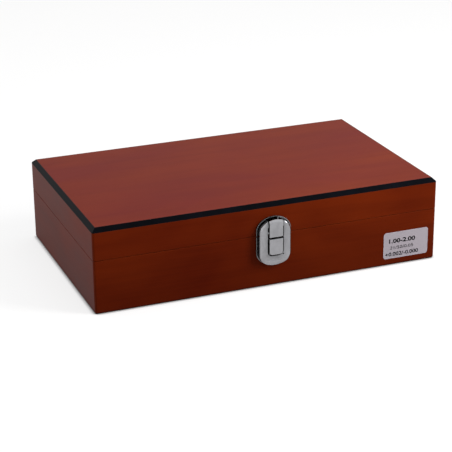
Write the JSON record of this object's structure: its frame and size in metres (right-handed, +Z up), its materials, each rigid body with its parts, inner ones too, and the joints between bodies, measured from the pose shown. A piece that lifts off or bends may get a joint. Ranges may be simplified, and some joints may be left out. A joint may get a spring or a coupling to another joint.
{
  "type": "jet gauge case",
  "caption": "Flat wooden case with a hinged bevel-edged lid, an oval chromed draw latch and a drilled rack of upright jet gauges.",
  "frame": {"origin": "centre of the case's underside, which rests on the table", "axes": "+X to the right along the case's length, +Y from the latch to the hinges, +Z up"},
  "size_m": [0.25, 0.1568, 0.06],
  "materials": {
    "cherry_stain": "stained cherry red-brown, satin lacquer",
    "top_veneer": "stained cherry veneer, satin lacquer",
    "black_edge": "black lacquer on the bevel",
    "bottom_board": "plain fibreboard",
    "latch_chrome": "bright chrome plate",
    "hinge_steel": "nickel plate",
    "gauge_steel": "ground and lapped",
    "rack_plastic": "milled off-white plastic",
    "strip_paper": "matt printed paper",
    "label_paper": "satin silver-grey sticker",
    "pad_foam": "closed-cell foam"
  },
  "bodies": {
    "base": {"base_front_board": "cherry_stain", "base_back_board": "cherry_stain", "base_left_board": "cherry_stain", "base_right_board": "cherry_stain", "base_bottom_board": "bottom_board", "gauge_rack": "rack_plastic", "gauges_row_1": "gauge_steel", "gauges_row_2": "gauge_steel", "gauges_row_3": "gauge_steel", "size_strips": "strip_paper", "hinge_left_base_leaf": "hinge_steel", "hinge_right_base_leaf": "hinge_steel", "hinge_pins": "hinge_steel", "hinge_base_screws": "hinge_steel", "latch_base_plate": "latch_chrome", "latch_base_screws": "latch_chrome", "latch_lever_pin": "latch_chrome", "label": "label_paper"},
    "lid": {"lid_front_board": "cherry_stain", "lid_back_board": "cherry_stain", "lid_left_board": "cherry_stain", "lid_right_board": "cherry_stain", "lid_top_board": "black_edge", "lid_top_veneer": "top_veneer", "lid_pad": "pad_foam", "hinge_left_lid_leaf": "hinge_steel", "hinge_right_lid_leaf": "hinge_steel", "hinge_lid_screws": "hinge_steel", "latch_keeper": "latch_chrome", "latch_keeper_screws": "latch_chrome"},
    "latch_lever": {"latch_lever": "latch_chrome", "latch_ring_pin": "latch_chrome"},
    "latch_ring": {"latch_ring": "latch_chrome"}
  },
  "joints": [
    {"name": "lid_hinge", "type": "hinge", "parent": "base", "child": "lid", "pos_m": [0, 0.074, 0.0374], "axis": [-1, 0, 0], "range_deg": [0, 95]},
    {"name": "latch_lever", "type": "hinge", "parent": "base", "child": "latch_lever", "pos_m": [0.00105, -0.0786, 0.0336], "axis": [-1, 0, 0], "range_deg": [0, 90]},
    {"name": "latch_ring", "type": "hinge", "parent": "latch_lever", "child": "latch_ring", "pos_m": [0.00105, -0.0782, 0.0262], "axis": [-1, 0, 0], "range_deg": [-109, 0]}
  ],
  "couplings": [
    {"joint": "latch_ring", "follows": "latch_lever", "ratio": -1.2}
  ]
}
